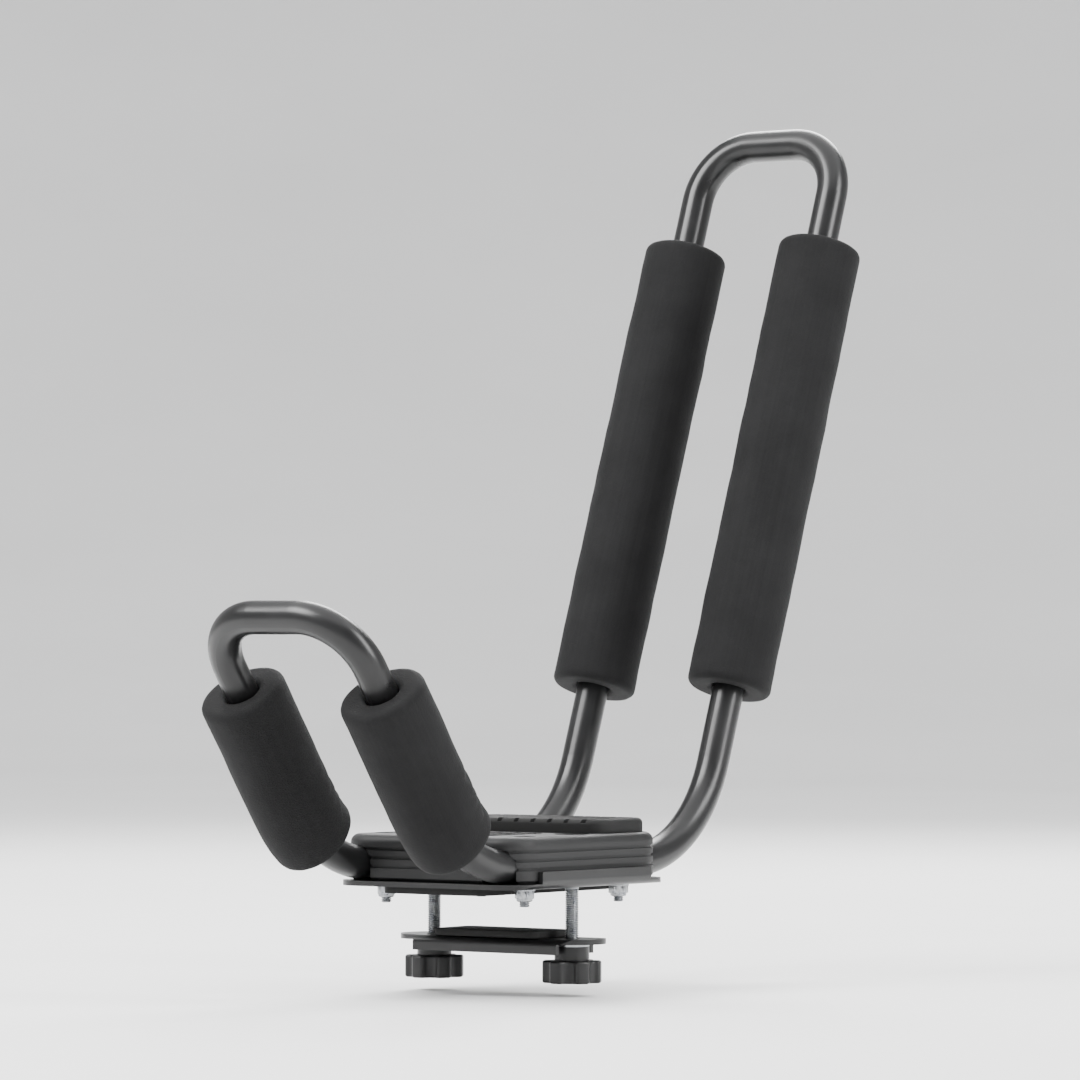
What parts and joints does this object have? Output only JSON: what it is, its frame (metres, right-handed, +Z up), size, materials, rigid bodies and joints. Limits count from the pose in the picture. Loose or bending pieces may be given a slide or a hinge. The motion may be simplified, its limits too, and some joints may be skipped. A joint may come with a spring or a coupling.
{
  "type": "j style kayak carrier",
  "caption": "J shaped cradle of bent steel tube with foam sleeves that carries a kayak on its edge, with a moulded saddle clamped on a roof rack crossbar by hand knobs.",
  "frame": {"origin": "centre of the rubber face that rests on the crossbar", "axes": "+Z up; X along the boat and the vehicle; Y along the crossbar, +Y towards the tall arm"},
  "size_m": [0.15, 0.5015, 0.5095],
  "materials": {
    "frame_coat": "black satin powder coat on steel",
    "foam": "matt black closed-cell foam",
    "saddle_moulding": "black fine-textured moulded nylon",
    "rubber": "matt black rubber",
    "zinc": "zinc plated steel",
    "knob_moulding": "black moulded nylon",
    "brass": "turned brass"
  },
  "bodies": {
    "carrier": {"tall_arm": "frame_coat", "short_arm": "frame_coat", "base_plate": "frame_coat", "tall_pad_front": "foam", "tall_pad_rear": "foam", "short_pad_front": "foam", "short_pad_rear": "foam", "saddle": "saddle_moulding", "hull_rest": "rubber", "base_pad": "rubber", "spigot_front": "zinc", "spigot_rear": "zinc", "frame_screws": "zinc", "frame_washers": "zinc", "frame_nuts": "zinc", "clamp_bolt_front": "zinc", "clamp_bolt_rear": "zinc"},
    "clamp": {"clamp_bar": "frame_coat", "clamp_pad": "rubber", "clamp_washer_front": "zinc", "clamp_washer_rear": "zinc"},
    "front_knob": {"knob_front": "knob_moulding", "knob_bush_front": "brass"},
    "rear_knob": {"knob_rear": "knob_moulding", "knob_bush_rear": "brass"}
  },
  "joints": [
    {"name": "clamp_slide", "type": "slide", "parent": "carrier", "child": "clamp", "axis": [0, 0, 1], "range_m": [-0.0075, 0.02125]},
    {"name": "front_knob_turn", "type": "hinge", "parent": "clamp", "child": "front_knob", "pos_m": [-0.05, 0, -0.04], "axis": [0, 0, 1], "range_deg": [-2160, 6120]},
    {"name": "rear_knob_turn", "type": "hinge", "parent": "clamp", "child": "rear_knob", "pos_m": [0.05, 0, -0.04], "axis": [0, 0, 1], "range_deg": [-2160, 6120]}
  ],
  "couplings": [
    {"joint": "front_knob_turn", "follows": "clamp_slide", "rad_per_m": 5026.5},
    {"joint": "rear_knob_turn", "follows": "clamp_slide", "rad_per_m": 5026.5}
  ]
}
